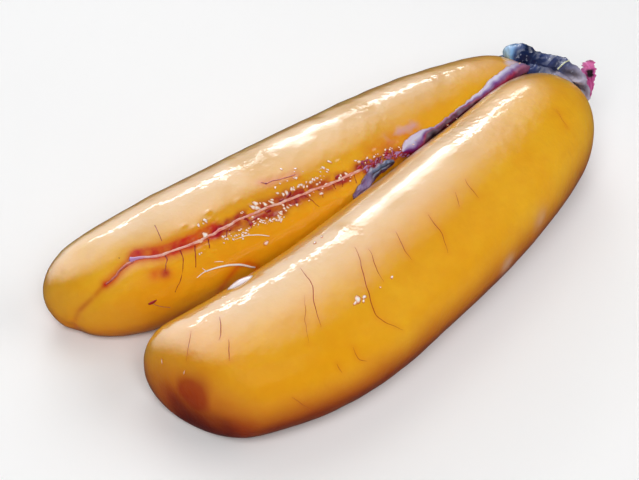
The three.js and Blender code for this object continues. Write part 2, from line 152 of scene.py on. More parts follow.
# Clusters of wet beads beside the vessel, each painted with a white glint: where one starts and ends,
# how many beads, how large, how far strewn
BEAD_CLUSTERS = [
    ((36.4, 114.5), (39.3, 112), 4, 0.8, 0.5), ((33.5, 125), (35.2, 124.5), 2, 0.9, 0.3),
    ((31, 136.5), (31.4, 137.5), 2, 0.5, 0.3), ((48, 118.5), (49, 119), 2, 0.6, 0.4),
    ((38.6, 134), (46.8, 138.5), 26, 0.46, 0.7), ((52.4, 117), (52.8, 123.5), 4, 1.0, 0.4),
    ((55, 121.5), (58.5, 121.5), 4, 0.8, 0.3), ((49.3, 132.5), (57, 141.5), 34, 0.46, 0.7),
    ((57.3, 140), (59.2, 135), 12, 0.6, 0.8), ((49, 155.5), (49.6, 154), 2, 0.7, 0.3),
    ((61, 119.5), (66, 120.5), 5, 0.75, 0.3), ((62, 112), (69, 106), 5, 0.5, 0.8),
    ((67, 112), (80, 117), 12, 0.6, 1.2), ((67, 122), (75, 124), 22, 0.52, 0.6),
    ((61, 136), (75, 136), 10, 0.6, 1.0), ((79, 128), (84, 139), 9, 0.5, 0.9),
    ((86.5, 126), (90, 130), 4, 0.55, 0.5), ((91, 128), (96, 131), 6, 0.45, 0.6),
    ((92, 138), (94.5, 140), 3, 0.5, 0.4), ((97, 133.5), (104, 139), 16, 0.42, 0.8),
]
# Thin lilac film on the skin beside the strip, and where the strip meets the membrane
LILAC_SMUDGE = [(101, 119.5), (104, 118), (107, 119.5), (110, 120.5)]
END_FILM = [(155.5, 100), (158.5, 98), (161.5, 95), (163, 90)]
# Crumpled mass of bloody tissue between the strip and the flap
TANGLE = [(89, 135), (92.5, 136), (96, 137), (99.5, 138.5), (102.5, 143), (106, 147)]
# Bruised free end of the front lobe, points in millimetres
TIP_EDGE = [(-66.4, -11, 7), (-66.2, -16, 4.5), (-65, -21.5, 3.5), (-64, -26.5, 4), (-61.5, -32, 6)]
TIP_CORE = (-65.6, -17.5, 13.2)
TIP_BLOOD = [(-66.3, -14.5, 3.4), (-65.6, -20.5, 3.2), (-64.2, -27, 3.6)]
# Single beads, each painted with a white glint: along, degrees and half the length
STRIP_BEADS = [
    (120.5, 138, 0.4), (124.5, 136, 0.45), (105.5, 137, 0.5), (107, 134.5, 0.4), (157.5, 104, 0.35),
]
FRONT_BEADS = [
    (43.9, 116.4, 1.3), (45.6, 117.6, 0.8), (42.6, 117.4, 0.7), (44.6, 119.6, 0.55), (55.3, 118.5, 0.6),
    (50.7, 119, 0.35), (54, 61, 0.7), (57, 60.5, 0.6), (1.6, 60, 0.35), (1.6, 92, 0.3),
]

# Faint pale spots low on the front lobe, painted paler and lilac: the place, how large and how strong
PALE_SPOTS = [((93.3, 184), 2.4, 0.55), ((111, 173), 2.8, 0.45)]
# Hairline vessels in the front lobe's skin
FRONT_HAIRS = [
    [(16.3, 76), (13.7, 86.5), (11, 94)],
    [(12.7, 96.5), (10.7, 104.5), (8.7, 112.5)],
    [(8.7, 74.5), (5.7, 82.5), (3, 89.5)],
    [(42.7, 74), (41, 82.5), (39.7, 89.5), (35.7, 100), (33.7, 109.5), (32, 119)],
    [
        (57.3, 86.5), (54, 95.5), (51.3, 103), (47, 117.5), (45.3, 126), (44.3, 134.5), (46, 144.5),
        (48.3, 156),
    ],
    [(58.7, 93), (56.3, 101), (54.3, 108), (52.7, 117)],
    [(68.3, 95.5), (66.3, 102.5), (65, 108.5), (63.3, 118)],
    [(79.3, 101.5), (78, 109.5), (77, 118), (73.7, 132)],
    [(97, 99.5), (95.3, 108.5), (94.3, 117)],
    [(91, 102), (89.3, 107), (87.7, 112)],
    [(140, 113.5), (138.3, 123.5), (137.7, 132)],
    [(35, 144), (35, 155.5), (36.7, 161)],
    [(17, 162.5), (19.3, 174.5), (22.3, 188)],
    [(30, 149.5), (30, 154.5), (30.3, 159.5)],
    [(35.7, 93.5), (30.3, 109.5), (27, 125)],
]
FRONT_HAIR_STRENGTH = [1.0, 0.9, 0.5, 0.9, 1.0, 0.7, 0.8, 0.9, 0.7, 0.5, 0.4, 0.6, 0.6, 0.5, 0.3]


# Shape tools

def through(values, u):
    v = np.asarray(values, float)
    n = len(v) - 1
    e = np.concatenate([[2 * v[0] - v[1]], v, [2 * v[-1] - v[-2]]])
    x = np.clip(u, 0, 1) * n
    i = np.minimum(np.floor(x).astype(int), n - 1)
    f = x - i
    a, b, c, d = e[i], e[i + 1], e[i + 2], e[i + 3]
    return b + 0.5 * f * (c - a + f * (2 * a - 5 * b + 4 * c - d + f * (3 * (b - c) + d - a)))


def rounded_end(distance, length, bluntness):
    q = np.clip(1 - distance / length, 0, 1)
    return (1 - q**bluntness) ** (1 / bluntness)


def signed_power(value, power):
    return np.sign(value) * np.abs(value) ** power


def unit(v):
    return v / (np.linalg.norm(v, axis=-1, keepdims=True) + 1e-12)


def away_from(points, spot):
    return np.linalg.norm(points - spot, axis=-1)


def distance_to_path(points, path):
    path = np.asarray(path, float)
    least = np.full(points.shape[:-1], 1e9)
    for a, b in zip(path[:-1], path[1:]):
        d = b - a
        f = np.clip(((points - a) @ d) / (d @ d), 0, 1)
        least = np.minimum(least, away_from(points - a, f[..., None] * d))
    return least


def glow(distance, width, power=2):
    """1 at no distance, less than a half beyond the width and soon nothing."""
    return np.exp(-(np.clip(distance / width, 0, 9) ** power))


def near(points, path, width, power=2):
    return glow(distance_to_path(points, path), width, power)


def eased(value, low, high):
    share = np.clip((value - low) / (high - low), 0, 1)
    return share * share * (3 - 2 * share)


def span(value, start, full, fading, end):
    """0 up to the start, 1 from full to fading, and 0 again from the end."""
    return eased(value, start, full) * (1 - eased(value, fading, end))


def strongest(*values):
    return np.maximum.reduce(values)


def soft_noise(points, size, seed):
    """Smooth noise from -1 to 1 with features about as large as size."""
    rng = np.random.default_rng(seed)
    table = rng.uniform(-1, 1, (24, 24, 24))
    p = np.asarray(points, float) / size + 1000
    i = np.floor(p).astype(int)
    f = p - i
    f = f * f * (3 - 2 * f)
    total = 0
    for corner in np.ndindex(2, 2, 2):
        x, y, z = np.moveaxis((i + corner) % 24, -1, 0)
        w = np.where(corner, f, 1 - f)
        total = total + table[x, y, z] * w[..., 0] * w[..., 1] * w[..., 2]
    return total


class Lobe:
    """A lobe's skin: plain(along, degrees) gives points in millimetres."""

    def __init__(self, spec):
        self.spec = spec
        self.u = np.linspace(0, 1, 401)
        c = self.middle(self.u)
        self.arc = np.concatenate([[0], np.cumsum(np.linalg.norm(np.diff(c, axis=0), axis=1))])
        self.length = self.arc[-1]
        self.mm_per_degree = math.radians(1) * float(np.mean(spec["half_width"]))
        self.relief = lambda p, along, degrees: 0

    def middle(self, u):
        return np.stack([through(self.spec["along_x"], u), through(self.spec["across_y"], u)], -1)

    def plain(self, along, degrees):
        s = self.spec
        along, degrees = np.broadcast_arrays(np.asarray(along, float), np.asarray(degrees, float))
        u = np.interp(along, self.arc, self.u)
        free = rounded_end(along, s["free_cap"], s["free_bluntness"])
        joined = rounded_end(self.length - along, s["joined_cap"], s["joined_bluntness"])
        size = free * joined
        angle = np.radians(degrees)
        side = signed_power(np.cos(angle), 2 / s["squareness"])
        rise = signed_power(np.sin(angle), 2 / s["squareness"])
        height = through(s["height"], u)
        middle_height = MIDDLE_SHARE * height
        droop = (1 - s["free_droop"] * (1 - free)) * (1 - s["joined_droop"] * (1 - joined))
        centre_height = middle_height * droop
        reach = np.where(rise > 0, height - middle_height, middle_height * s["sag"])
        across = through(s["half_width"], u) * size * side
        slant = s["free_slant"] * (1 - u) ** 3 + s["joined_slant"] * u**3
        c = self.middle(u)
        d = unit(self.middle(np.minimum(u + 0.001, 1)) - self.middle(np.maximum(u - 0.001, 0)))
        x = c[..., 0] - d[..., 1] * across + d[..., 0] * slant * across
        y = c[..., 1] + d[..., 0] * across + d[..., 1] * slant * across
        opening = SEAM_OPENING * np.maximum(SEAM_OPENS_AT - x, 0)
        k = s["seam_side"]
        limit = k * (SEAM_Y + SEAM_SLOPE * x + opening - k * SEAM_HALF_GAP)
        y = k * (limit - SEAM_SOFTNESS * np.logaddexp(0, (limit - k * y) / SEAM_SOFTNESS))
        z = np.maximum(centre_height + reach * size * rise, 0)
        return np.stack([x, y, z], -1)

    def line(self, places):
        return self.plain(*np.transpose(places))

    def outward(self, along, degrees):
        a = np.clip(along, 0.3, self.length - 0.3)
        lengthwise = self.plain(a + 0.25, degrees) - self.plain(a - 0.25, degrees)
        round_it = self.plain(a, np.asarray(degrees) + 1) - self.plain(a, np.asarray(degrees) - 1)
        return unit(np.cross(round_it, lengthwise))

    def place(self, along, degrees):
        p = self.plain(along, degrees)
        lift = self.relief(p, along, degrees) * np.clip(p[..., 2] / 2.5, 0, 1)
        p = p + self.outward(along, degrees) * np.asarray(lift)[..., None]
        p[..., 2] = np.maximum(p[..., 2], 0)
        return p

    def raised(self, along, degrees, lift):
        return self.place(along, degrees) + self.outward(along, degrees) * np.asarray(lift)[..., None]


front = Lobe(FRONT_LOBE)
back = Lobe(BACK_LOBE)
vein_line = back.plain(VEIN_ALONG, VEIN_ROUND)
fork_line = back.plain(FORK_ALONG, FORK_ROUND)


def domes(points, centres, radii, heights):
    """Small rounded lumps on a skin."""
    total = np.zeros(points.shape[:-1])
    for centre, radius, height in zip(centres, radii, heights):
        close = np.abs(points[..., 0] - centre[0]) < radius * 1.6
        away = away_from(points[close], centre) / radius
        total[close] = np.maximum(total[close], height * np.exp(-2.2 * away**2.4))
    return total


# Lumps beside the vessel, where small clumps of eggs press through the skin
LUMPS = 210
rng = np.random.default_rng(11)
lump_along = rng.uniform(30, 106, LUMPS)
lump_round = np.interp(lump_along, VEIN_ALONG, VEIN_ROUND) + rng.normal(3, 8, LUMPS)
lump_centres = back.plain(lump_along, lump_round)
lump_radii = rng.uniform(0.7, 1.5, LUMPS)
lump_heights = rng.uniform(0.12, 0.46, LUMPS)
bulge_centre = back.plain(BULGE["along"], BULGE["round"])


def front_relief(p, along, degrees):
    calm = 1 - 0.7 * eased(along, 50, 72)
    return 0.28 * soft_noise(p, 17, 3) + calm * (0.11 * soft_noise(p, 6, 4) + 0.05 * soft_noise(p, 2.6, 5))


def back_relief(p, along, degrees):
    grooves = ((vein_line, FURROW), (fork_line, FOLD), (CREASE, FOLD))
    cut = strongest(*(depth * near(p, line, width) for line, (depth, width) in grooves))
    waves = 0.22 * soft_noise(p, 15, 6) + 0.13 * soft_noise(p, 5.5, 7) + 0.05 * soft_noise(p, 2.4, 8)
    lumps = domes(p, lump_centres, lump_radii, lump_heights)
    bulge = domes(p, [bulge_centre], [BULGE["radius"]], [BULGE["height"]])
    return waves - cut + lumps + bulge


front.relief = front_relief
back.relief = back_relief


# Mesh tools

def make_piece(name, points, faces, values=None):
    mesh = bpy.data.meshes.new(name)
    metres = (points - (*BOX_MIDDLE, 0)) * MILLIMETRE
    mesh.from_pydata(metres.tolist(), [], faces)
    mesh.validate()
    mesh.polygons.foreach_set("use_smooth", [True] * len(mesh.polygons))
    for key, data in (values or {}).items():
        attribute = mesh.attributes.new(key, "FLOAT", "POINT")
        attribute.data.foreach_set("value", np.asarray(data, np.float32))
    mesh.update()
    piece = bpy.data.objects.new(name, mesh)
    bpy.context.scene.collection.objects.link(piece)
    return piece


def skin_faces(rings, around):
    """Faces of rings of points, with a lone point before and after them."""
    faces = []
    end = 1 + rings * around
    steps = [(j, (j + 1) % around) for j in range(around)]
    for j, k in steps:
        faces.append((0, 1 + k, 1 + j))
        faces.append((end, end - around + j, end - around + k))
    for a in range(1, end - around, around):
        b = a + around
        faces.extend((a + j, a + k, b + k, b + j) for j, k in steps)
    return faces


def joined(parts):
    """Several (points, faces, values) as one."""
    faces, count = [], 0
    for points, part_faces, _ in parts:
        faces.extend(tuple(i + count for i in face) for face in part_faces)
        count += len(points)
    values = {key: np.concatenate([part[2][key] for part in parts]) for key in parts[0][2]}
    return np.concatenate([part[0] for part in parts]), faces, values


def tagged(part, **tags):
    """The part with these values at all its points, in place of those that it had."""
    points, faces, _ = part
    return points, faces, {key: np.full(len(points), value) for key, value in tags.items()}


def capped(first, rings, last):
    """Rings of points or values as one list, with a lone one before and after them."""
    return np.concatenate([[first], rings.reshape(-1, *np.shape(first)), [last]])


def all_round(count):
    return np.linspace(0, 2 * math.pi, count, endpoint=False)


TIP_LENGTH, SQUASHED = 0.6, 0.6


def tube(path, radii, sides, wrinkle=None, squash=None):
    """A strand along a path, with rounded tips. squash flattens it along the given directions."""
    path = np.asarray(path, float)
    n = len(path)
    tangent = unit(np.gradient(path, axis=0))
    radii = np.broadcast_to(np.asarray(radii, float), (n,))
    across = np.zeros((n, 3))
    up = np.array([0, 0, 1.0])
    for i in range(n):
        side = unit(np.cross(tangent[i], up if squash is None else squash[i]))
        up = unit(np.cross(side, tangent[i]))
        across[i] = up
    side = unit(np.cross(tangent, across))
    angle = all_round(sides)
    r = radii[:, None] * np.ones(sides)
    flat = 1.0 if squash is None else SQUASHED
    ring = (
        path[:, None]
        + side[:, None] * (r * np.cos(angle))[..., None]
        + across[:, None] * (r * np.sin(angle) * flat)[..., None]
    )
    run = np.linspace(0, 1, n)[:, None] * np.ones(sides)
    if wrinkle is not None:
        ring = ring + unit(ring - path[:, None]) * wrinkle(ring, run)[..., None]
    tips = tangent * radii[:, None] * TIP_LENGTH
    points = capped(path[0] - tips[0], ring, path[-1] + tips[-1])
    return points, skin_faces(n, sides), {"run": capped(0, run, 1)}


BLOB_AROUND, BLOB_RINGS = 14, 5


def blob(lobe, along, degrees, length, width, height, turn, seed, rough=1.0):
    """A low drop of uneven outline, stuck to a lobe. length and width are half its size."""
    draw = np.random.default_rng(seed)
    angle = all_round(BLOB_AROUND)
    uneven = 0.16 * np.sin(2 * angle + draw.uniform(0, 6)) + 0.1 * np.sin(3 * angle + draw.uniform(0, 6))
    share = np.linspace(0, 1, BLOB_RINGS + 1)[1:, None]
    reach = share * (1 + rough * uneven)
    x = reach * length * np.cos(angle)
    y = reach * width * np.sin(angle)
    ahead = x * math.cos(turn) - y * math.sin(turn)
    sideways = (x * math.sin(turn) + y * math.cos(turn)) / lobe.mm_per_degree
    ring = lobe.raised(along + ahead, degrees + sideways, height * np.sqrt(1.02 - share**2) - 0.05)
    top = lobe.raised(along, degrees, height)
    under = lobe.raised(along, degrees, -0.2)
    return capped(top, ring, under), skin_faces(BLOB_RINGS, BLOB_AROUND), {}


def rimmed(part):
    """A drop with the value rim, which is 0 at its top and 1 at its edge."""
    share = np.repeat(np.linspace(0, 1, BLOB_RINGS + 1)[1:], BLOB_AROUND)
    return part[0], part[1], {"rim": capped(0, share, 1)}


def smooth_line(points, count):
    p = np.asarray(points, float)
    u = np.linspace(0, 1, count)
    return np.stack([through(p[:, k], u) for k in range(p.shape[1])], -1)


# Materials. Colours are given from 0 to 255

def node(tree, kind, **settings):
    made = tree.nodes.new(kind)
    for key, value in settings.items():
        if key.startswith("in_"):
            made.inputs[key[3:].replace("_", " ")].default_value = value
        else:
            setattr(made, key, value)
    return made


def map_range(tree, source, low, high, to_low, to_high, **settings):
    ends = dict(in_From_Min=low, in_From_Max=high, in_To_Min=to_low, in_To_Max=to_high)
    made = node(tree, "ShaderNodeMapRange", **ends, **settings)
    tree.links.new(source, made.inputs["Value"])
    return made.outputs["Result"]


def linear(colour):
    """A colour in the form that the nodes take."""
    return (*(c / 255 / 12.92 if c <= 10 else ((c / 255 + 0.055) / 1.055) ** 2.4 for c in colour), 1)


class Look:
    """A material with the nodes that paint it. soft is how much light goes under its surface."""

    def __init__(
        self, name, rough, shine=0.5, coat=0.0, coat_rough=0.03, soft=0.0, radii=(0.0016, 0.001, 0.001)
    ):
        self.material = bpy.data.materials.new(name)
        self.material.use_nodes = True
        self.tree = self.material.node_tree
        self.tree.nodes.clear()
        surface = dict(in_Roughness=rough, in_Specular_IOR_Level=shine)
        wetness = dict(in_Coat_Weight=coat, in_Coat_Roughness=coat_rough)
        depth = dict(in_Subsurface_Weight=soft, in_Subsurface_Scale=1.0, in_Subsurface_Radius=radii)
        self.shader = node(self.tree, "ShaderNodeBsdfPrincipled", **surface, **wetness, **depth)
        out = node(self.tree, "ShaderNodeOutputMaterial")
        self.link(self.shader.outputs[0], out.inputs["Surface"])
        self.where = node(self.tree, "ShaderNodeTexCoord").outputs["Object"]

    def link(self, source, socket):
        self.tree.links.new(source, socket)

    def put(self, source, socket):
        """Set a socket to a colour or a number, or link it to a node."""
        if isinstance(source, tuple):
            socket.default_value = linear(source)
        elif isinstance(source, float):
            socket.default_value = source
        else:
            self.link(source, socket)

    def feed(self, name, source):
        self.link(source, self.shader.inputs[name])

    def colour(self, source):
        self.feed("Base Color", source)

    def value(self, name):
        return node(self.tree, "ShaderNodeAttribute", attribute_name=name).outputs["Fac"]

    def spread(self, source, low, high, to_low=0.0, to_high=1.0):
        return map_range(self.tree, source, low, high, to_low, to_high)

    def noise(self, scale, detail=3.0, low=0.35, high=0.65, most=1.0):
        made = node(self.tree, "ShaderNodeTexNoise", in_Scale=scale, in_Detail=detail, in_Roughness=0.55)
        self.link(self.where, made.inputs["Vector"])
        return self.spread(made.outputs["Fac"], low, high, 0.0, most)

    def times(self, a, b):
        made = node(self.tree, "ShaderNodeMath", operation="MULTIPLY", use_clamp=True)
        self.put(a, made.inputs[0])
        self.put(b, made.inputs[1])
        return made.outputs[0]

    def mix(self, share, a, b):
        made = node(self.tree, "ShaderNodeMix", data_type="RGBA")
        for source, place in ((share, 0), (a, 6), (b, 7)):
            self.put(source, made.inputs[place])
        return made.outputs[2]

    def ramp(self, source, stops):
        """Colours at places from 0 to 1. The first is at 0 and the last at 1."""
        made = node(self.tree, "ShaderNodeValToRGB")
        self.link(source, made.inputs["Fac"])
        elements = made.color_ramp.elements
        for place, *_ in stops[1:-1]:
            elements.new(place)
        for element, (_, *colour) in zip(elements, stops):
            element.color = linear(colour)
        return made.outputs["Color"]

    def bump(self, source, strength, distance, before=None):
        made = node(self.tree, "ShaderNodeBump", in_Strength=strength, in_Distance=distance)
        self.link(source, made.inputs["Height"])
        if before is not None:
            self.link(before, made.inputs["Normal"])
        return made.outputs["Normal"]

    def grain(self, scale, strength, distance, before=None):
        """Fine bumps all over the surface."""
        self.feed("Normal", self.bump(self.noise(scale, detail=2.0), strength, distance, before))


def roe_look(name):
    look = Look(name, rough=0.34, shine=0.2, soft=0.25, radii=(0.005, 0.0018, 0.0003))
    look.shader.inputs["Coat IOR"].default_value = 1.65
    patchy = look.noise(55.0)
    broad = look.noise(22.0, detail=2.0)
    fine = look.noise(260.0, detail=4.0)
    gold = look.mix(broad, (234, 166, 20), (238, 180, 34))
    gold = look.mix(look.times(patchy, 0.4), gold, (226, 150, 12))
    gold = look.mix(look.times(fine, 0.18), gold, (216, 138, 12))
    # Painted shade: deeper orange low on the lobes and gold higher up, by the height in rise
    deep = look.mix(patchy, (208, 118, 6), (218, 136, 12))
    body = look.mix(look.value("rise"), deep, gold)
    # Layers over the gold: the noise that thins each of them, its least and full strength, its colour
    layers = (
        # painted sheen: pale cream on the shoulders, with the front lobe's pale spots
        ("pale", patchy, 0.8, 1.0, (208, 158, 74)),
        # deep orange: the tip's colour and painted shade on downward faces, in the back lobe's cleft a
        # painted reflection
        ("orange", patchy, 0.9, 0.9, (222, 116, 6)),
        ("stain", fine, 0.6, 1.0, (206, 34, 28)),
        # reddish brown: the bruise at the front lobe's free end, and painted shade on downward faces and in
        # the crease
        ("burnt", patchy, 0.8, 1.0, (166, 54, 2)),
        # dark red: blood at the front lobe's free end, and painted shade where the skin faces furthest down
        ("blood", patchy, 0.8, 1.0, (98, 20, 3)),
        ("crimson", fine, 0.55, 1.0, (160, 22, 40)),
        # dark maroon in the gap below the strip: partly the tissue's colour, partly painted shade
        ("cleft", fine, 1.0, 1.0, (58, 20, 40)),
        ("lilac", fine, 0.7, 1.0, look.mix(patchy, (204, 164, 184), (230, 204, 210))),
    )
    for layer, noise, least, full, colour in layers:
        share = look.times(look.value(layer), look.spread(noise, 0, 1, least, full))
        body = look.mix(share, body, colour)
    look.colour(body)
    look.feed("Coat Weight", look.spread(look.value("dull"), 0, 1, 1.0, 0.15))
    eggs = node(look.tree, "ShaderNodeTexVoronoi", feature="SMOOTH_F1", in_Scale=900.0)
    look.link(look.where, eggs.inputs["Vector"])
    look.grain(420.0, 0.14, 0.0004, look.bump(eggs.outputs["Distance"], 0.10, 0.0002))
    ripples = look.times(look.noise(340.0, detail=1.5), look.value("ripple"))
    look.feed("Coat Normal", look.bump(ripples, 0.3, 0.0004))
    look.feed("Coat Roughness", look.spread(look.value("blur"), 0, 1, 0.05, 0.17))
    return look


def vessel_look():
    wet = dict(rough=0.3, shine=0.3, coat=0.7, coat_rough=0.06)
    look = Look("vessel_wet", soft=0.2, radii=(0.002, 0.0006, 0.0005), **wet)
    patchy = look.noise(500.0)
    trunk = look.mix(patchy, (224, 132, 118), (240, 192, 176))
    branch = look.mix(patchy, (146, 26, 20), (182, 62, 28))
    clot = look.mix(patchy, (122, 8, 18), (176, 26, 44))
    body = look.mix(look.value("dark"), trunk, branch)
    body = look.mix(look.value("clotted"), body, clot)
    look.colour(look.mix(look.value("lilac"), body, (176, 130, 190)))
    return look


def hair_look():
    look = Look("hairlines", rough=0.5, shine=0.1, coat=0.2, coat_rough=0.1)
    look.colour(look.mix(look.value("strength"), (206, 126, 34), (172, 68, 24)))
    return look


# The bulb's lightest blues are partly its colour and partly painted sheen
MEMBRANE_COLOURS = [
    (0.0, 150, 194, 248), (0.1, 172, 216, 254), (0.17, 128, 180, 240), (0.23, 44, 76, 138),
    (0.3, 18, 32, 72), (0.42, 26, 42, 84), (0.55, 56, 70, 122), (0.68, 78, 88, 132),
    (0.78, 174, 168, 190), (1.0, 182, 168, 188),
]


def membrane_look():
    wet = dict(rough=0.32, shine=0.15, coat=0.4, coat_rough=0.08)
    look = Look("membrane_wet", soft=0.1, radii=(0.001, 0.001, 0.0015), **wet)
    run = look.ramp(look.value("run"), MEMBRANE_COLOURS)
    # Painted shade: the hollows between the folds are near navy black, the crests keep their colour
    dark = look.mix(0.75, run, (8, 14, 40))
    body = look.mix(look.value("lit_crest"), dark, run)
    body = look.mix(look.noise(190.0, low=0.46, high=0.6, most=0.5), body, dark)
    flecks = look.noise(620.0, detail=2.0, low=0.64, high=0.74, most=0.45)
    look.colour(look.mix(flecks, body, (190, 206, 232)))
    look.grain(420.0, 0.3, 0.0005)
    return look


def tissue_look(name, dark, light, scale, clear=0.15):
    look = Look(name, rough=0.3, coat=1.0, coat_rough=0.08, soft=clear)
    look.colour(look.mix(look.noise(scale, detail=4.0), dark, light))
    look.grain(scale * 2.2, 0.25, 0.0003)
    return look


# Painted glint: each bead is near white at its top and fades to warm skin colour at its edge
BEAD_GLINT_COLOURS = [
    (0.0, 255, 254, 252), (0.36, 255, 246, 240), (0.58, 250, 204, 176), (0.8, 226, 138, 78),
    (1.0, 206, 100, 36),
]


def bead_glint_look():
    look = Look("bead_painted_glint", rough=0.2, coat=1.0, coat_rough=0.04, soft=0.2)
    tone = look.ramp(look.value("rim"), BEAD_GLINT_COLOURS)
    look.colour(look.mix(look.noise(700.0, most=0.25), tone, (240, 170, 120)))
    return look


def scrap_look():
    look = Look("scrap_wet", rough=0.34, coat=0.7, coat_rough=0.08, soft=0.2)
    pink = look.mix(look.noise(300.0), (196, 76, 146), (236, 136, 196))
    # Painted shade: near black where the scrap curls over a hollow
    look.colour(look.mix(look.value("hole_shade"), pink, (22, 4, 14)))
    look.grain(700.0, 0.25, 0.0003)
    return look


STRIP_COLOURS = [
    (0.0, 212, 156, 156), (0.06, 212, 188, 220), (0.26, 204, 204, 228), (0.4, 156, 134, 186),
    (0.5, 112, 54, 136), (0.62, 122, 30, 104), (0.76, 158, 22, 66), (1.0, 84, 8, 40),
]


def strip_look():
    look = Look("strip_wet", rough=0.4, shine=0.1, coat=0.25, coat_rough=0.08, soft=0.15)
    tone = look.ramp(look.value("tone"), STRIP_COLOURS)
    body = look.mix(look.times(look.value("dusk"), 0.75), tone, (160, 100, 134))
    patchy = look.noise(210.0, most=0.3)
    body = look.mix(look.times(patchy, look.value("pearly")), body, (196, 204, 228))
    # Painted shade: a near black dark hole on the strip
    look.colour(look.mix(look.value("pit_shade"), body, (26, 10, 26)))
    look.grain(420.0, 0.2, 0.0003)
    return look


FLAP_COLOURS = [
    (0.0, 104, 50, 84), (0.14, 128, 108, 158), (0.6, 160, 142, 188), (0.8, 120, 74, 96),
    (1.0, 96, 34, 26),
]
# The slate ramp ends reddish brown at the flap's lower edge: the back lobe's skin in shade, painted onto the
# flap
SLATE_COLOURS = [
    (0.0, 128, 40, 66), (0.14, 132, 140, 166), (0.28, 86, 104, 136), (0.4, 18, 18, 36),
    (0.5, 138, 150, 180), (0.62, 40, 28, 52), (0.8, 104, 60, 70), (1.0, 110, 44, 26),
]


def flap_look():
    look = Look("flap_wet", rough=0.28, shine=0.3, coat=0.6, coat_rough=0.06, soft=0.15)
    violet = look.ramp(look.value("tone"), FLAP_COLOURS)
    slate = look.ramp(look.value("tone"), SLATE_COLOURS)
    body = look.mix(look.spread(look.value("run"), 0.42, 0.56), violet, slate)
    look.colour(look.mix(look.noise(300.0, most=0.3), body, (72, 50, 92)))
    look.grain(500.0, 0.25, 0.0004)
    return look


def table_look():
    look = Look("table_pale", rough=0.6)
    look.colour(look.mix(look.noise(6.0, detail=2.0), (249.31,) * 3, (251.61,) * 3))
    return look


def dress(piece, look, node_name=None):
    piece.data.materials.append(look.material)
    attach(piece, "root")
    if node_name:
        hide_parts(node_name)


# The two lobes

def cap_places(lobe, cap, body):
    """Places along a lobe, close together at its ends."""
    k = 1 - np.cos(np.linspace(0, 1, cap + 1)[1:] * np.pi / 2)
    free, far = lobe.spec["free_cap"], lobe.spec["joined_cap"]
    between = np.linspace(free, lobe.length - far, body + 1)[1:-1]
    return np.concatenate([free * k, between, (lobe.length - far * k)[::-1]])


def lobe_piece(name, lobe, places, degrees, paint):
    along, around = np.meshgrid(places, degrees, indexing="ij")
    ring = lobe.place(along, around)
    points = capped(lobe.plain(0.0, 0.0), ring, lobe.plain(lobe.length, 0.0))
    values = {}
    for key, data in paint(ring, along, around).items():
        data = np.clip(data, 0, 1)
        values[key] = capped(data[0].mean(), data, data[-1].mean())
    return make_piece(name, points, skin_faces(len(places), len(degrees)), values)


def paint_front(p, along, around):
    """How much of each layer the front lobe's skin has at its points."""
    # Painted shade: rise is the height, and lower down the skin is painted a deeper orange
    rise = np.clip(p[..., 2] / 30, 0, 1)
    blotch = soft_noise(p, 9, 21)
    ragged = 1.2 * soft_noise(p, 5, 24)
    reach = 0.12 * (1 - eased(along, 40, 90))
    # Painted shade: low is how much the skin faces down, painted deeper orange, brown and dark red there
    low = 1 - eased(front.outward(along, around)[..., 2] + 0.05 * blotch - reach, -0.44, 0.4)
    core = away_from(p, TIP_CORE) + ragged
    edge = distance_to_path(p, TIP_EDGE) + ragged
    burnt = np.maximum(1.3 * glow(core, 6, 2.4), glow(edge, 8.2))
    far = eased(along, 50, 72)
    # Painted sheen: a pale band along the shoulders, where the sky would be reflected
    sheen_band = glow(np.abs(around - 73), 24) * span(along, 3, 22, 100, 140)
    crinkled = span(along, 98, 112, 134, 142)
    side = span(around, 84, 106, 250, 330)
    # Faint pale spots low on the lobe, painted paler and lilac
    pale_marks = sum(
        share * glow(away_from(p, front.plain(*place)) + ragged, size) for place, size, share in PALE_SPOTS
    )
    gap = glow(np.abs(along - 63.5), 2.4)
    return dict(
        rise=0.25 + 0.95 * rise + 0.1 * blotch,
        pale=np.maximum(0.85 * sheen_band * (0.9 + 0.2 * blotch), pale_marks),
        orange=0.35 * low + 0.5 * glow(core, 14),
        stain=0.12 * strongest(*(near(p, front.line(hair), 1.0) for hair in FRONT_HAIRS)),
        # The bruise, with painted shade on the downward faces
        burnt=np.maximum(burnt, 0.92 * low**1.1) * (1 - pale_marks),
        # Blood at the tip, and painted shade where the skin faces furthest down
        blood=np.maximum(glow(distance_to_path(p, TIP_BLOOD) + 0.7 * ragged, 6.2, 2.4), 0.6 * low**4),
        crimson=0 * rise,
        cleft=0 * rise,
        lilac=0.5 * pale_marks,
        dull=strongest(
            0.7 * gap * glow(np.abs(around - 66), 11),
            0.62 * side,
            0.45 * eased(along, 98, 122) * eased(around, 76, 90),
            0.9 * glow(core, 10),
            0.4 * eased(blotch, 0, 0.7),
        ),
        ripple=0.42 - 0.26 * far + 0.3 * gap + 0.6 * crinkled,
        blur=np.maximum(0.6 * far - 0.3 * crinkled, 0.9 * side),
    )


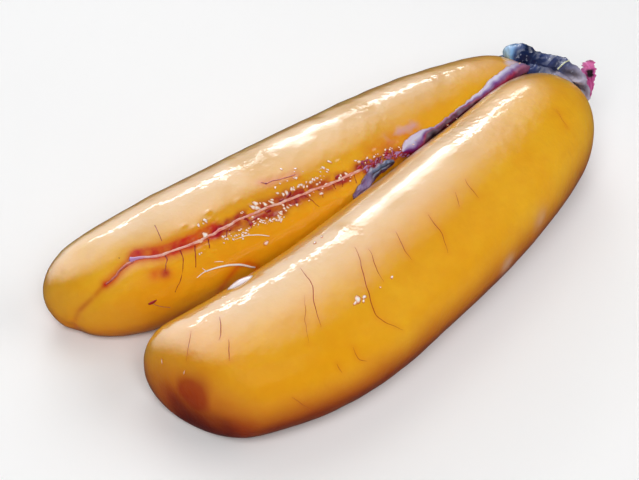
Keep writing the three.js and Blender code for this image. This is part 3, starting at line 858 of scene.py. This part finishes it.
def paint_back(p, along, around):
    """How much of each layer the back lobe's skin has at its points."""
    around = around % 360
    # Painted shade: rise is the height, and lower down the skin is painted a deeper orange
    rise = np.clip(p[..., 2] / 27, 0, 1)
    blotch = soft_noise(p, 8, 22)
    ragged = soft_noise(p, 1.6, 23)
    patches = soft_noise(p, 3.4, 25)
    smear, smudge, wet_orange = back.line(RED_SMEAR), back.line(SMUDGE), back.line(WET_ORANGE)
    away = distance_to_path(p, vein_line)
    along_vein = span(along, 28, 46, 100, 112)
    middle = span(along, 36, 48, 62, 84)
    stain = 0.6 * glow(away, 1.7) * (0.5 + 0.5 * along_vein) * (0.8 + 0.5 * ragged)
    stain = stain + 0.45 * span(along, 86, 98, 106, 118) * glow(np.abs(around - 124), 10)
    stains = (
        (smear, 2, 1.8 + 0.25 * ragged),
        (fork_line, 1.1, 1.3),
        (CREASE, 0.45, 0.8),
        (smudge, 0.75, 1.7),
        (wet_orange, 0.5, 0.7),
        (back.line(SMALL_VESSEL), 0.45, 1.7),
    )
    for line, share, width in stains:
        stain = stain + share * near(p, line, width)
    flecked = np.clip(0.62 + 0.3 * middle + 1.5 * patches + 0.7 * ragged, 0, 1)
    crimson = strongest(
        1.9 * along_vein * glow(away, 1.7 + 0.5 * middle) * flecked,
        *((1.2 + 0.5 * ragged) * near(p, back.line(run), width) for run, width in CRIMSON_RUNS),
        *(1.3 * glow(away_from(p, back.plain(a, d)), 0.65 * length) for a, d, length, _ in CLOTS),
        0.85 * glow(away_from(p, smudge[-1]), 1.2),
        (0.4 + 0.4 * ragged) * near(p, smear, 1.7),
        1.5 * near(p, back.line(TANGLE), 1.7 + 0.5 * ragged),
    )
    # Painted light on the inner flank in the cleft: lighter gold, and near the free end deeper orange as a
    # painted reflection of the front lobe
    lit_inner_flank = np.clip((around - 126) / 26, 0, 1) * np.clip((236 - around) / 40, 0, 1)
    wet = 0.55 * near(p, wet_orange, 1.5)
    # Dark maroon in the gap below the strip: partly the tissue's colour, partly painted shade
    cleft_from = np.interp(along, STRIP["along"], STRIP["lower"]) - 3
    cleft = np.clip((around - cleft_from) / 3, 0, 1) * np.clip((200 - around) / 20, 0, 1)
    # Painted sheen: a pale band along the shoulders, where the sky would be reflected
    sheen_band = glow(np.abs(around - 80), 25) * span(along, 4, 24, 120, 155)
    end_side = span(around, 80, 94, 180, 240) * (1 - eased(along, 22, 36))
    far_side = span(around, 86, 98, 180, 240) * eased(along, 98, 110)
    # Painted shade: low is how much the skin faces down, painted deeper orange and brown there
    low = 1 - eased(back.outward(along, around)[..., 2] + 0.05 * blotch, -0.5, 0.2)
    gaps = np.maximum(span(along, 57, 61, 68, 73), span(along, 92, 96, 104, 109))
    soft_run = span(along, 70, 75, 92, 100)
    # The thin lilac film on the skin beside the strip
    pale_marks = 0.7 * near(p, back.line(LILAC_SMUDGE), 1.5) * np.clip(0.5 + 1.4 * patches + ragged, 0, 1)
    return dict(
        rise=0.3 + 0.95 * rise + 0.1 * blotch + 0.35 * lit_inner_flank,
        pale=0.85 * sheen_band * (0.9 + 0.2 * blotch),
        orange=lit_inner_flank * (0.25 - 0.2 * eased(along, 10, 60)) + 0.4 * low + wet,
        stain=stain,
        # Painted shade: reddish brown on downward faces and in the crease
        burnt=np.maximum(0.4 * low**1.4, 0.45 * near(p, CREASE, 0.6)),
        blood=0 * rise,
        crimson=crimson,
        cleft=0.9 * cleft * span(along, 100, 106, 162, 166),
        lilac=np.maximum(pale_marks, 1.2 * near(p, back.line(END_FILM), 2.2, 4)),
        dull=strongest(
            0.85 * glow(np.minimum(away, distance_to_path(p, fork_line) + 0.6), 3.4, 3),
            0.75 * gaps * glow(np.abs(around - 77), 16),
            0.65 * end_side,
            0.55 * far_side,
            0.2 * eased(blotch, 0, 0.7),
        ),
        ripple=0.34 + 0.3 * gaps - 0.15 * soft_run,
        blur=np.maximum(0.7 * soft_run + 0.25 * eased(along, 104, 112), end_side),
    )


front_degrees = np.linspace(0, 360, 230, endpoint=False)
# The side with the vessel has finer faces
vessel_side = np.linspace(92, 172, 190, endpoint=False)
other_side = np.linspace(172, 452, 130, endpoint=False)
back_degrees = np.concatenate([vessel_side, other_side])
front_places = cap_places(front, cap=46, body=210)
back_places = cap_places(back, cap=44, body=205)
front_skin = lobe_piece("roe_skin_front", front, front_places, front_degrees, paint_front)
back_skin = lobe_piece("roe_skin_back", back, back_places, back_degrees, paint_back)
dress(front_skin, roe_look("roe_wet_front"), "roe_lobe_front")
dress(back_skin, roe_look("roe_wet_back"), "roe_lobe_back")


# The vessel, its fork, its side branches and the clots beside it

def skin_noise(line, squeeze, size, *seeds):
    """Smooth noise along a line of places on a skin, one column for each seed."""
    flat = np.stack([line[:, 0], line[:, 1] * squeeze, 0 * line[:, 0]], -1)
    return np.stack([soft_noise(flat, size, seed) for seed in seeds], -1)


def on_back(places, count, lift, wobble, seed):
    """A line on the back lobe, and the way out of the skin at each of its points."""
    line = smooth_line(places, count)
    line = line + wobble * skin_noise(line, 0.35, 2.2, seed, seed + 5) / (1, back.mm_per_degree)
    return back.raised(*line.T, lift), back.outward(*line.T)


def strand(places, count, lift, wobble, seed, radii, sides, wrinkle=None):
    path, out = on_back(places, count, lift, wobble, seed)
    return tube(path, radii, sides, wrinkle, out)


def fleshy(ring, run):
    return 0.07 * soft_noise(ring, 1.0, 31) + 0.03 * soft_noise(ring, 0.5, 32)


def shaded(part, dark, clotted=0.0, lilac=0.0):
    return tagged(part, dark=dark, clotted=clotted, lilac=lilac)


TRUNK_STEPS, FORK_STEPS, BRANCH_STEPS = 300, 60, 34
path, out = on_back(list(zip(VEIN_ALONG, VEIN_ROUND)), TRUNK_STEPS, 0.1, 0.16, 40)
free_end = glow(np.linspace(0, 1, TRUNK_STEPS), 0.02)
trunk = tube(path, 0.34 + 0.12 * soft_noise(path, 3, 41) + 0.45 * free_end, 12, fleshy, out)
run = trunk[2]["run"]
parts = [shaded(trunk, np.clip((run - 0.93) / 0.05, 0, 0.8), lilac=0.95 * glow(run, 0.1))]
taper = np.linspace(0.45, 0.2, FORK_STEPS)
fork = strand(list(zip(FORK_ALONG, FORK_ROUND)), FORK_STEPS, 0.06, 0.2, 43, taper, 8, fleshy)
parts.append(shaded(fork, 0.8))
for i, (places, radius) in enumerate(BRANCHES):
    taper = radius * np.linspace(1.1, 0.5, BRANCH_STEPS)
    parts.append(shaded(strand(places, BRANCH_STEPS, 0.02, 0.3, 50 + i, taper, 7, fleshy), 1.0, 0.4))
for places, radius, dark in ((SMALL_VESSEL, 0.16, 0.8), (BACK_HAIR, 0.1, 1.0), (CLOT_THREAD, 0.09, 0.6)):
    parts.append(shaded(strand(places, 40, 0.04, 0.15, 90, radius, 6), dark))
# Clots on the strip stand higher than the others
clots = [(*clot, 1.0 if clot[0] > 110 else 0.3) for clot in CLOTS] + LONE_CLOTS
for i, (along, degrees, length, width, height) in enumerate(clots):
    turn = -0.25 + 0.4 * math.sin(i)
    parts.append(shaded(blob(back, along, degrees, length / 2, width / 2, height, turn, 300 + i), 1.0, 1.0))

# Crumpled mass where the cleft's tissue ends: low lumps with strands between them
draw = np.random.default_rng(77)
TANGLE_KINDS = [(1.0, 1.0, 0.0), (0.8, 0.8, 0.0), (1.0, 0.6, 0.5), (0.6, 0.2, 0.85), (1.0, 1.0, 0.15)]
tangle_along, tangle_round = zip(*TANGLE)
for i in range(64):
    along = draw.uniform(88.5, 106)
    degrees = np.interp(along, tangle_along, tangle_round) + draw.normal(0, 2.6)
    if i % 4:
        length = draw.uniform(0.5, 1.1)
        width = length * draw.uniform(0.4, 0.7)
        part = blob(back, along, degrees, length, width, 0.35, draw.uniform(-1.2, 0.6), 900 + i, 2.0)
    else:
        turn = draw.uniform(-1.2, 0.6)
        f = np.linspace(-1, 1, 4)
        bend = draw.uniform(-0.6, 0.6)
        ahead = f * math.cos(turn) + bend * f * f
        sideways = (f * math.sin(turn) - bend * f * f) / back.mm_per_degree
        taper = draw.uniform(0.16, 0.3) * np.sin(np.linspace(0.5, math.pi - 0.5, 18))
        places = np.stack([along + ahead, degrees + sideways], -1)
        part = strand(places, 18, 0.25, 0.3, 110 + i, taper, 8, fleshy)
    parts.append(shaded(part, *TANGLE_KINDS[i % 5]))
dress(make_piece("vessel_tree", *joined(parts)), vessel_look(), "vein_trunk")

# Hairline vessels in the front lobe's skin
HAIR_STEPS = 44
parts = []
for i, (hair, strength) in enumerate(zip(FRONT_HAIRS, FRONT_HAIR_STRENGTH)):
    line = smooth_line(hair, HAIR_STEPS)
    line = line + skin_noise(line, 0.4, 2.6, 70 + i, 100 + i) * (0.25, 0.6)
    taper = (0.5 + 0.5 * strength) * np.sin(np.linspace(0.2, math.pi - 0.12, HAIR_STEPS)) ** 0.7
    part = tube(front.raised(*line.T, 0.0), 0.12 * taper, 6, None, front.outward(*line.T))
    parts.append(tagged(part, strength=strength))
dress(make_piece("hairline_vessels", *joined(parts)), hair_look())

# Beads of wet jelly with painted glints, and shreds of film with a painted highlight, by the vessel
parts = []
draw = np.random.default_rng(5)
for start, end, count, size, strewn in BEAD_CLUSTERS:
    for share in np.linspace(0, 1, count):
        along = start[0] + (end[0] - start[0]) * share + draw.normal(0, strewn)
        degrees = start[1] + (end[1] - start[1]) * share + draw.normal(0, strewn) / back.mm_per_degree
        length = 1.15 * size * draw.uniform(0.4, 1.1)
        width = length * draw.uniform(0.55, 0.95)
        height = 0.08 + 0.3 * width
        turn = draw.uniform(-1.2, 1.2)
        parts.append(rimmed(blob(back, along, degrees, length, width, height, turn, int(1000 * along))))
for i, (along, degrees, size) in enumerate(STRIP_BEADS):
    parts.append(rimmed(blob(back, along, degrees, size, size * 0.6, 1.3, 0.2, 540 + i, 1.5)))
for i, (along, degrees, size) in enumerate(FRONT_BEADS):
    parts.append(rimmed(blob(front, along, degrees, size, size * 0.6, 0.3, -0.5, 500 + i)))
dress(make_piece("wet_beads_painted_glints", *joined(parts)), bead_glint_look())

FILM_STEPS = 60
swell = np.sin(np.linspace(0.25, math.pi - 0.25, FILM_STEPS)) ** 0.5 * np.linspace(0.45, 1.0, FILM_STEPS)
parts = []
for i, (places, radius) in enumerate(FILM_ARCS):
    parts.append(strand(places, FILM_STEPS, 0.12, 0.15, 130 + i, radius * swell, 8))
# Painted highlight: the clear film's folds are coloured near white
film_highlight_look = tissue_look("film_painted_highlight", (255, 240, 230), (255, 252, 250), 500.0, 0.3)
dress(make_piece("film_shreds_painted_highlight", *joined(parts)), film_highlight_look)


# Membrane round the joined end, with a thread across it

def folds_at(points):
    return 1 - np.abs(soft_noise(points * (0.7, 1.1, 1.1), 3.4, 81))


def crumple(ring, run):
    fine = 1 - np.abs(soft_noise(ring, 1.5, 82))
    knobs = soft_noise(ring, 1.0, 83)
    calm = 0.5 + 0.5 * eased(run, 0.16, 0.3)
    return calm * (1.2 * (folds_at(ring) - 0.75) + 0.4 * (fine - 0.7) + 0.16 * knobs)


parts = []
for path, sides, count in ((MEMBRANE_PATH, 72, 300), (MEMBRANE_BACKING, 60, 130)):
    line = smooth_line(path, count)
    points, faces, values = tube(line[:, :3], line[:, 3], sides, crumple)
    # How much each point is a fold's crest; the hollows get painted shade
    values["lit_crest"] = np.clip(0.5 + 2.2 * (folds_at(points) - 0.45), 0, 1)
    values["run"] = np.clip(values["run"] + 0.03 * soft_noise(points, 2.6, 84), 0, 1)
    parts.append((points, faces, values))
dress(make_piece("membrane_crumpled", *joined(parts)), membrane_look(), "membrane_end")

THREAD_PATH = [(99.9, -9.2, 24.2), (98.6, -8.8, 24.2), (97.2, -8.6, 23.8), (95.4, -8.4, 23)]
thread = make_piece("pale_thread", *tube(smooth_line(THREAD_PATH, 50), 0.22, 8))
dress(thread, tissue_look("thread_wet", (178, 186, 150), (220, 224, 190), 700.0))


# Pink scrap on the membrane

SCRAP_THICKNESS, SCRAP_STEPS, SCRAP_COLUMNS = 0.9, 80, 24


def scrap_shape():
    """A thin curled sheet of uneven width, with how strong the painted shade of its hollow is."""
    line = smooth_line(SCRAP_PATH, SCRAP_STEPS)
    tangent = unit(np.gradient(line, axis=0))
    wide = np.array([0.7, -0.7, 0.1])
    side = unit(wide - (tangent @ wide)[:, None] * tangent)
    face = np.cross(tangent, side)
    v = np.linspace(1, -1, SCRAP_COLUMNS) * 0.999
    v = np.concatenate([v, -v])
    out = np.repeat([1, -1], SCRAP_COLUMNS)
    u = np.linspace(0, 1, SCRAP_STEPS)[:, None]
    fray = 0.12 * np.sin(31 * u) + 0.08 * np.sin(67 * u + 1) * np.sign(v)
    half = through(SCRAP_HALF_WIDTH, u) * (1 + fray)
    curl = 0.5 * np.sin(3 * v + 7 * u) + 0.2 * np.sin(9 * v + 15 * u)
    bulge = out * SCRAP_THICKNESS * 0.5 * (0.35 + 0.65 * np.sqrt(1 - v * v))
    ring = line[:, None] + side[:, None] * (half * v)[..., None] + face[:, None] * (curl + bulge)[..., None]
    # Painted shade in the hollow
    hole_shade = 1.3 * np.exp(-(((u - 0.55) / 0.11) ** 4) - ((v - 0.1) / 0.55) ** 4)
    points = capped(line[0], ring, line[-1])
    return points, skin_faces(SCRAP_STEPS, 2 * SCRAP_COLUMNS), {"hole_shade": capped(0, hole_shade, 0)}


dress(make_piece("pink_scrap", *scrap_shape()), scrap_look(), "tissue_scrap")


# Bands of tissue in the cleft

def band_on_back(band, ripple, sections, columns=36):
    """A band on the back lobe's skin. across runs from 0 at its upper edge to 1 at its lower edge."""
    u = np.linspace(0, 1, sections)[:, None]
    along, upper, lower, thickness = (through(values, u) for values in band.values())
    v = np.linspace(0, 1, columns)
    edge = 1.1 * soft_noise(np.concatenate([along, 0 * along, 0 * along], -1), 1.3, 95)[:, None]
    degrees = upper + edge + (lower - upper - edge) * v
    rounded = np.sqrt(np.clip(1 - (2 * v - 1) ** 2, 0, 1))
    rise = 0.08 + np.maximum(thickness + ripple(along, v), 0.12) * rounded
    top = back.raised(along + 0 * v, degrees, rise)
    under = back.raised(along + 0 * v, degrees, 0.02 + 0 * rise)[:, 1:-1][:, ::-1]
    ring = np.concatenate([top, under], 1)
    across = np.concatenate([v, v[-2:0:-1]]) * np.ones((sections, 1))
    run = u * np.ones(ring.shape[1])
    values = {"across": capped(0, across, 0), "run": capped(0, run, 1)}
    return capped(ring[0].mean(0), ring, ring[-1].mean(0)), skin_faces(sections, ring.shape[1]), values


def lengthwise(along, v, size, seed):
    return soft_noise(np.stack(np.broadcast_arrays(along / size, v * 3.2, 0 * along), -1), 1.0, seed)


def strip_ripple(along, v):
    return 0.34 * lengthwise(along, v, 5.0, 91) + 0.16 * lengthwise(along, 2.2 * v, 2.2, 92)


def flap_ripple(along, v):
    return 0.5 * lengthwise(along, v, 2.4, 93) + 0.3 * lengthwise(along, 2 * v, 1.0, 94)


# How far down the strip its pale tissue reaches, at even steps from its free end
PALE_SHARE = [0.66, 0.56, 0.46, 0.14, 0.09, 0.09, 0.15, 0.3, 0.4, 0.42, 0.34, 0.28]
points, faces, values = band_on_back(STRIP, strip_ripple, sections=360)
run, across = values["run"], values["across"]
wander = 0.1 * soft_noise(points, 2.2, 96)
values["tone"] = np.clip(across / (2 * through(PALE_SHARE, run)) + wander * np.clip(4 * across, 0, 1), 0, 1)
dusk = glow(np.abs(run - 0.42), 0.13) * (1 - eased(across, 0.06, 0.2)) + 0.7 * glow(np.abs(run - 1), 0.1)
values["dusk"] = np.clip(dusk, 0, 1)
values["pearly"] = 1 - eased(across, 0.4, 0.7)
# Painted shade of a dark hole in the strip
values["pit_shade"] = np.exp(-(((run - 0.3) / 0.035) ** 2) - ((across - 0.5) / 0.3) ** 2)
dress(make_piece("cleft_strip", points, faces, values), strip_look(), "mesentery_strip")
points, faces, values = band_on_back(FLAP, flap_ripple, sections=140)
values["tone"] = np.clip(values["across"] + 0.16 * soft_noise(points, 1.6, 97), 0, 1)
dress(make_piece("cleft_flap", points, faces, values), flap_look(), "membrane_flap")

# Pale patch on the front lobe's shoulder
PATCH_RINGS, PATCH_AROUND = 14, 48
share = np.linspace(0, 1, PATCH_RINGS + 1)[1:, None]
angle = all_round(PATCH_AROUND)
ring = front.raised(
    PATCH["along"] + PATCH["half_length"] * share * np.cos(angle),
    PATCH["round"] + PATCH["half_width"] / front.mm_per_degree * share * np.sin(angle),
    0.02 + PATCH["thickness"] * (1 - share**2),
)
top = front.raised(PATCH["along"], PATCH["round"], 0.02 + PATCH["thickness"])
under = front.raised(PATCH["along"], PATCH["round"], -0.3)
patch = make_piece("pale_patch_skin", capped(top, ring, under), skin_faces(PATCH_RINGS, PATCH_AROUND))
patch_look = tissue_look("patch_wet", (222, 190, 184), (226, 208, 222), 240.0, 0.4)
dress(patch, patch_look, "pale_patch")

# Table, light and camera
TABLE_SIZE = 6
bpy.ops.mesh.primitive_plane_add(size=TABLE_SIZE, location=(0, 0, 0))
table = bpy.context.active_object
table.name = "table"
table.data.materials.append(table_look().material)
table.visible_glossy = False

AZIMUTH, ELEVATION, DISTANCE = -47, 42, 0.516
AIM = Vector((-0.0195, 0.0011, 0.012))
SENSOR_WIDTH, LENS = 36, 104.8


def direction(azimuth, elevation):
    a, e = math.radians(azimuth), math.radians(elevation)
    return Vector((math.sin(a) * math.cos(e), -math.cos(a) * math.cos(e), math.sin(e)))


def area_light(name, azimuth, elevation, distance, width, height, power, mirrored=True, roll=0):
    data = bpy.data.lights.new(name, "AREA")
    data.shape = "RECTANGLE"
    data.size = width
    data.size_y = height
    data.energy = power
    lamp = bpy.data.objects.new(name, data)
    bpy.context.scene.collection.objects.link(lamp)
    towards = direction(azimuth, elevation)
    turned = towards.to_track_quat("Z", "Y") @ Quaternion((0, 0, 1), math.radians(roll))
    lamp.location = AIM + towards * distance
    lamp.rotation_euler = turned.to_euler()
    lamp.visible_glossy = mirrored


area_light("window", 147, 24, 1.3, 0.95, 0.1, 2.0, roll=10)
area_light("window_wide", 139, 25, 1.3, 0.2, 0.34, 0.9)
area_light("lamp", -47, 50, 1.5, 1.2, 1.0, 16.5, mirrored=False)
area_light("fill", -70, 22, 1.6, 1.2, 1.0, 1.0, mirrored=False)
area_light("side_light", 45, 35, 1.5, 1.2, 1.0, 8, mirrored=False)
area_light("back_light", 133, 50, 1.5, 1.2, 1.0, 4, mirrored=False)

# A soft bright sky behind the object that fades to all sides
SKY_AZIMUTH, SKY_ELEVATION, SKY_FULL_WITHIN, SKY_GONE_BEYOND = 178, 40, 8, 64
SKY_STRENGTH, SKY_REST = 3.5, 0.06
SKY_COLOUR = (0.97, 0.98, 1, 1)
world = bpy.data.worlds.new("studio")
world.use_nodes = True
tree = world.node_tree
towards = node(tree, "ShaderNodeVectorMath", operation="DOT_PRODUCT")
towards.inputs[1].default_value = direction(SKY_AZIMUTH, SKY_ELEVATION)
tree.links.new(node(tree, "ShaderNodeTexCoord").outputs["Generated"], towards.inputs[0])
gone, full = (math.cos(math.radians(angle)) for angle in (SKY_GONE_BEYOND, SKY_FULL_WITHIN))
strength = map_range(
    tree, towards.outputs["Value"], gone, full, SKY_REST, SKY_STRENGTH, interpolation_type="SMOOTHSTEP"
)
background = tree.nodes["Background"]
background.inputs["Color"].default_value = SKY_COLOUR
tree.links.new(strength, background.inputs["Strength"])
scene = bpy.context.scene
scene.world = world
world.cycles_visibility.diffuse = False
scene.view_settings.view_transform = "Standard"

camera = bpy.data.objects.new("camera", bpy.data.cameras.new("camera"))
scene.collection.objects.link(camera)
camera.data.sensor_width = SENSOR_WIDTH
camera.data.lens = LENS
camera.data.clip_start = 0.01
camera.location = AIM + direction(AZIMUTH, ELEVATION) * DISTANCE
camera.rotation_euler = direction(AZIMUTH, ELEVATION).to_track_quat("Z", "Y").to_euler()
scene.camera = camera
